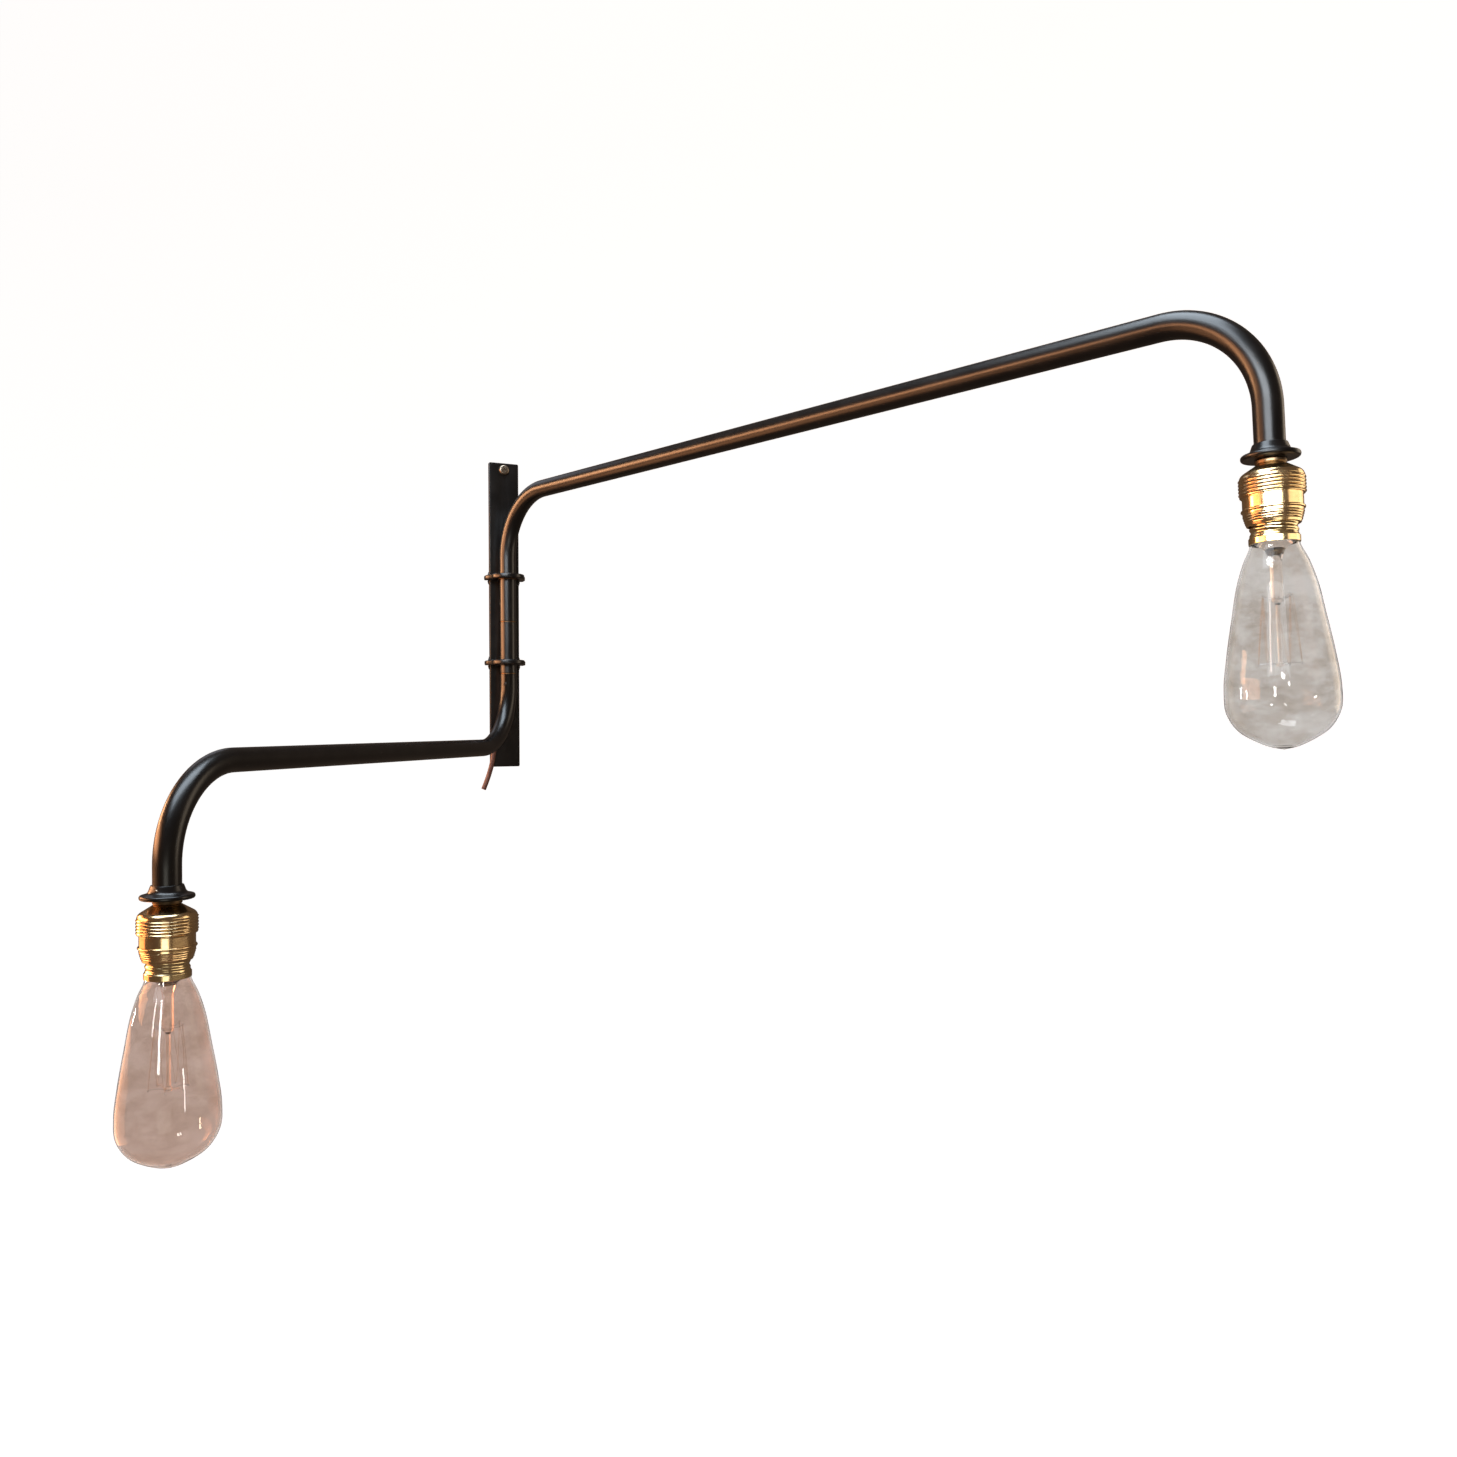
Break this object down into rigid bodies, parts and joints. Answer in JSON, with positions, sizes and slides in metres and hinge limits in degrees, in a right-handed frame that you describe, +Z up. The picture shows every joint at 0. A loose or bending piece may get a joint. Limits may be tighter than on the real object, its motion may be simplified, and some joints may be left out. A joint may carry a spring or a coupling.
{
  "type": "swing arm wall sconce",
  "caption": "Wall light with tubular swing arms that turn on a shared vertical pivot on a flat wall bar, each ending in a brass lampholder with a clear teardrop bulb.",
  "frame": {"origin": "centre of the wall bar's back face, on the wall's surface", "axes": "+Z up along the wall bar, +X to the right along the wall, +Y into the wall; the arms reach towards -Y"},
  "size_m": [0.6488, 0.8506, 0.5624],
  "materials": {
    "black_paint": "satin black paint over steel, lightly worn",
    "aged_screw": "zinc plate gone dull and brownish",
    "bronze": "plain sintered bronze",
    "plain_steel": "plain turned steel",
    "dark_brass": "tarnished brass",
    "polished_brass": "polished brass, lightly lacquered",
    "bulb_cap_brass": "bright pressed brass",
    "porcelain": "glazed white porcelain",
    "black_glass": "black glass",
    "clear_glass": "clear blown glass",
    "filament_wire": "drawn filament wire",
    "wire_sheath": "white flexible sheath",
    "cord_sheath": "dark red-brown flexible sheath"
  },
  "bodies": {
    "root": {"wall_bar": "black_paint", "wall_screws": "aged_screw", "upper_lug": "black_paint", "lower_lug": "black_paint", "lug_bush": "bronze", "middle_tube": "black_paint", "pivot_spigot": "plain_steel", "thrust_washers": "bronze", "pivot_wire": "wire_sheath", "supply_cord": "cord_sheath"},
    "upper_arm": {"upper_arm_tube": "black_paint", "upper_lamp_wire": "wire_sheath", "upper_end_flange": "black_paint", "upper_flange_screw": "aged_screw", "upper_end_insert": "plain_steel", "upper_nipple": "plain_steel", "upper_neck_nut": "dark_brass", "upper_holder_cap": "polished_brass", "upper_holder_skirt": "polished_brass", "upper_porcelain_insert": "porcelain", "upper_thread_shell": "polished_brass", "upper_centre_contact": "polished_brass", "upper_terminal_screws": "plain_steel"},
    "upper_bulb": {"upper_bulb_glass": "clear_glass", "upper_bulb_cap": "bulb_cap_brass", "upper_cap_insulator": "black_glass", "upper_tip_contact": "dark_brass", "upper_bulb_stem": "clear_glass", "upper_support_wires": "plain_steel", "upper_bulb_filament": "filament_wire"},
    "lower_arm": {"lower_arm_tube": "black_paint", "lower_lamp_wire": "wire_sheath", "lower_end_flange": "black_paint", "lower_flange_screw": "aged_screw", "lower_end_insert": "plain_steel", "lower_nipple": "plain_steel", "lower_neck_nut": "dark_brass", "lower_holder_cap": "polished_brass", "lower_holder_skirt": "polished_brass", "lower_porcelain_insert": "porcelain", "lower_thread_shell": "polished_brass", "lower_centre_contact": "polished_brass", "lower_terminal_screws": "plain_steel", "lower_retaining_screw": "aged_screw"},
    "lower_bulb": {"lower_bulb_glass": "clear_glass", "lower_bulb_cap": "bulb_cap_brass", "lower_cap_insulator": "black_glass", "lower_tip_contact": "dark_brass", "lower_bulb_stem": "clear_glass", "lower_support_wires": "plain_steel", "lower_bulb_filament": "filament_wire"}
  },
  "joints": [
    {"name": "upper_arm_swing", "type": "hinge", "parent": "root", "child": "upper_arm", "pos_m": [0, -0.02, 0], "axis": [0, 0, 1], "range_deg": [-106.4, 67.6]},
    {"name": "lower_arm_swing", "type": "hinge", "parent": "root", "child": "lower_arm", "pos_m": [0, -0.02, 0], "axis": [0, 0, 1], "range_deg": [-49.2, 124.8]},
    {"name": "upper_bulb_turn", "type": "hinge", "parent": "upper_arm", "child": "upper_bulb", "pos_m": [0.26281, -0.76628, 0.03386], "axis": [-0.0145, 0.0411, 0.999], "range_deg": [-360, 0]},
    {"name": "lower_bulb_turn", "type": "hinge", "parent": "lower_arm", "child": "lower_bulb", "pos_m": [-0.32178, -0.43483, -0.227], "axis": [0, 0, 1], "range_deg": [-360, 0]}
  ]
}
